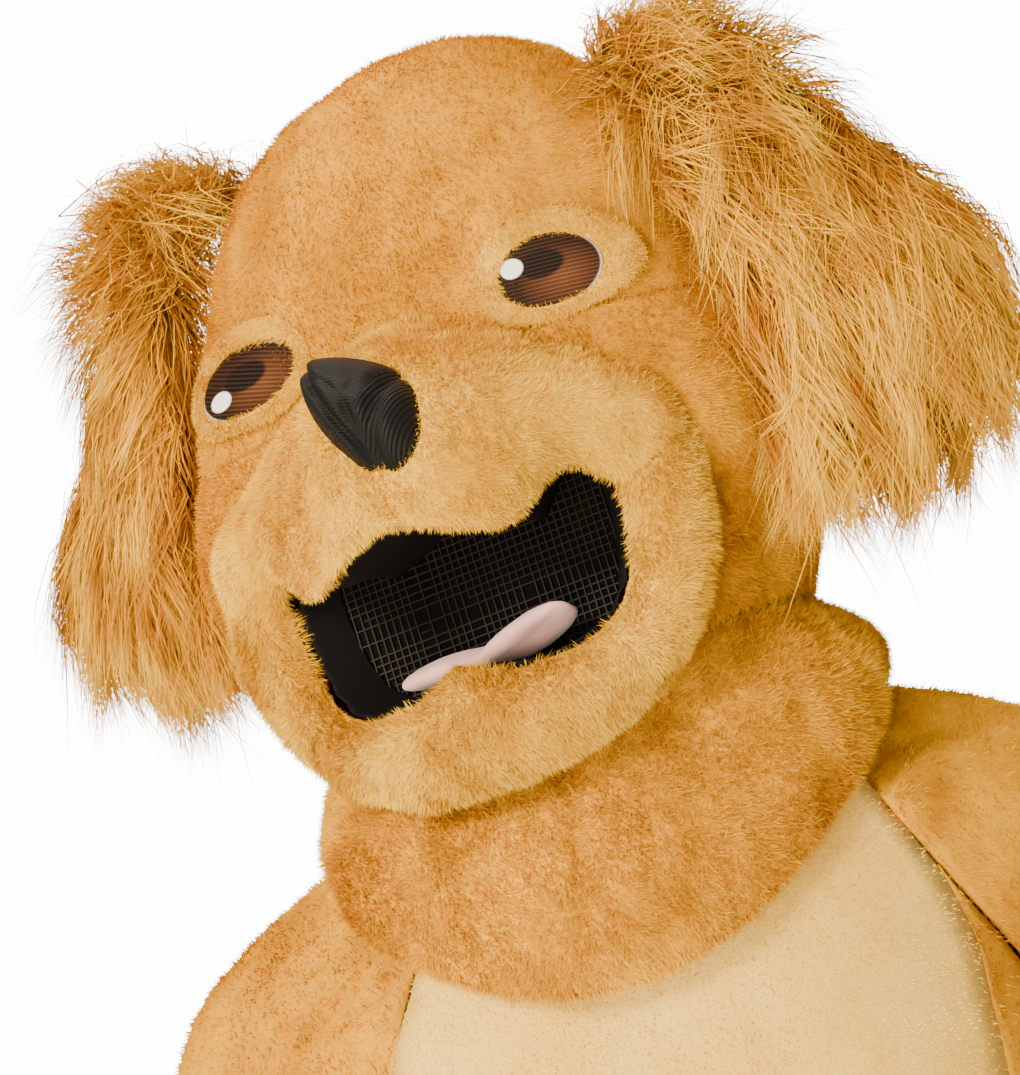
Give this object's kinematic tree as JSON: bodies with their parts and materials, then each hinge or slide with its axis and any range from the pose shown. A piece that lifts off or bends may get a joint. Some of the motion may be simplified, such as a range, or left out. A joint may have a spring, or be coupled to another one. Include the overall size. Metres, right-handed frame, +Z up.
{
  "type": "dog costume",
  "caption": "Worn plush dog costume: padded head with open mouth, long-fur hanging ears and bib collar, over a loose jumpsuit with cream belly, open cuffs and hems.",
  "frame": {"origin": "base of the wearer's neck, between the shoulders that carry the costume", "axes": "+Z up along the wearer, -Y the way the wearer's chest faces, +X the wearer's left"},
  "size_m": [0.7052, 0.3643, 1.7909],
  "materials": {
    "golden_plush": "short plush pile",
    "light_plush": "short plush pile, paler",
    "cream_plush": "short cream plush pile",
    "long_fur": "long combed fur",
    "black_satin": "black satin, ribbed on the nose",
    "black_net": "open black net",
    "pink_fleece": "smooth pink fleece",
    "eye_print": "printed see-through mesh"
  },
  "bodies": {
    "root": {"belly": "cream_plush", "bib": "golden_plush", "cheek_left": "golden_plush", "cheek_right": "golden_plush", "crown": "golden_plush", "ear_left": "long_fur", "ear_right": "long_fur", "eye_left": "eye_print", "eye_patch_left": "light_plush", "eye_patch_right": "light_plush", "eye_right": "eye_print", "jaw_left": "light_plush", "jaw_right": "light_plush", "leg_left": "golden_plush", "leg_right": "golden_plush", "mouth_lining": "black_satin", "mouth_screen": "black_net", "muzzle": "light_plush", "nose": "black_satin", "sleeve_left": "golden_plush", "sleeve_right": "golden_plush", "throat": "golden_plush", "tongue": "pink_fleece", "torso_left": "golden_plush", "torso_right": "golden_plush"}
  },
  "joints": []
}
